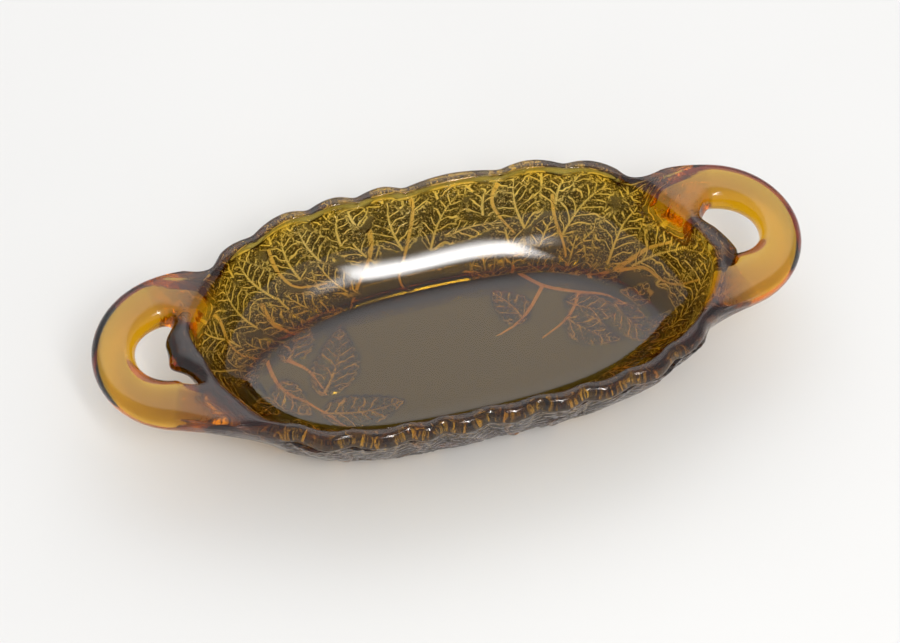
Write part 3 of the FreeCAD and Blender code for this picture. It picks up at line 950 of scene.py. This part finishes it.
def pale_floor():
    """A matt off-white that varies a little."""
    material = bpy.data.materials.new("pale_floor")
    material.use_nodes = True
    tree = material.node_tree
    shader = tree.nodes["Principled BSDF"]
    shader.inputs["Roughness"].default_value = 0.7
    noise = node(tree, "ShaderNodeTexNoise", Scale=40.0)
    colour = mixed(tree, noise.outputs["Fac"], *FLOOR_COLOURS)
    tree.links.new(colour, shader.inputs["Base Color"])
    return material


# ---------------------------------------------------------------- stage, light, camera, in metres

# The side of the floor, and how far it lies below the foot.
FLOOR_SIZE, FLOOR_GAP = 6.0, 0.0002
# What the lights are aimed at, and each light's name, place, size and power.
BOWL_MIDDLE = (0.0, 0.0, 0.03)
LIGHTS = (
    ("overhead_softbox", (0.135, -0.58, 0.85), (0.12, 0.95), 9.0),
    ("front_softbox", (0.13, -0.6, 0.85), (0.6, 0.4), 5.0),
    ("back_softbox", (0.12, 0.85, 1.0), (2.4, 1.6), 18.0),
)
ROOM_COLOUR, ROOM_STRENGTH = (0.97, 0.98, 1.0), 0.75
CAMERA_AZIMUTH, CAMERA_ELEVATION = math.radians(-14.55), math.radians(55.0)
CAMERA_DISTANCE = 0.582
CAMERA_TARGET = (-0.00525, -0.0110, 0.037)


def add_floor():
    half = FLOOR_SIZE / 2.0
    data = bpy.data.meshes.new("stage_floor")
    corners = [(-half, -half, 0), (half, -half, 0), (half, half, 0), (-half, half, 0)]
    data.from_pydata(corners, [], [(0, 1, 2, 3)])
    floor = bpy.data.objects.new("stage_floor", data)
    floor.location.z = -FLOOR_GAP
    bpy.context.collection.objects.link(floor)
    floor.data.materials.append(pale_floor())


def add_light(name, place, size, power):
    """A soft box, aimed at the bowl, that is brightest in the middle and fades out towards its edges."""
    data = bpy.data.lights.new(name, "AREA")
    data.shape = "RECTANGLE"
    data.size, data.size_y = size
    data.energy = power
    data.use_nodes = True
    tree = data.node_tree
    lamp = node(tree, "ShaderNodeNewGeometry")
    place_on_light = node(tree, "ShaderNodeSeparateXYZ")
    tree.links.new(lamp.outputs["Parametric"], place_on_light.inputs["Vector"])
    fades = [fading(tree, computed(tree, "PINGPONG", place_on_light.outputs[axis], 0.5), 0.45, 0.0)
             for axis in ("X", "Y")]
    tree.links.new(computed(tree, "MULTIPLY", *fades), tree.nodes["Emission"].inputs["Strength"])
    light = bpy.data.objects.new(name, data)
    light.location = place
    light.rotation_euler = (Vector(BOWL_MIDDLE) - Vector(place)).to_track_quat("-Z", "Y").to_euler()
    bpy.context.collection.objects.link(light)


def add_world():
    world = bpy.data.worlds.new("soft_room")
    world.use_nodes = True
    background = world.node_tree.nodes["Background"]
    background.inputs["Color"].default_value = (*ROOM_COLOUR, 1.0)
    background.inputs["Strength"].default_value = ROOM_STRENGTH
    bpy.context.scene.world = world


def add_camera():
    data = bpy.data.cameras.new("camera")
    data.sensor_width = 36.0
    data.lens = 72.0
    camera = bpy.data.objects.new("camera", data)
    level = math.cos(CAMERA_ELEVATION)
    back = Vector((math.sin(CAMERA_AZIMUTH) * level, -math.cos(CAMERA_AZIMUTH) * level,
                   math.sin(CAMERA_ELEVATION)))
    camera.location = Vector(CAMERA_TARGET) + CAMERA_DISTANCE * back
    camera.rotation_euler = (-back).to_track_quat("-Z", "Y").to_euler()
    bpy.context.collection.objects.link(camera)
    bpy.context.scene.camera = camera


dish = make_object(build_dish(), "pressed_glass_dish")
dish.data.materials.append(amber_glass())
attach(dish, "root")
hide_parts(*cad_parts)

add_floor()
add_world()
for light in LIGHTS:
    add_light(*light)
add_camera()
bpy.context.scene.view_settings.view_transform = "Standard"
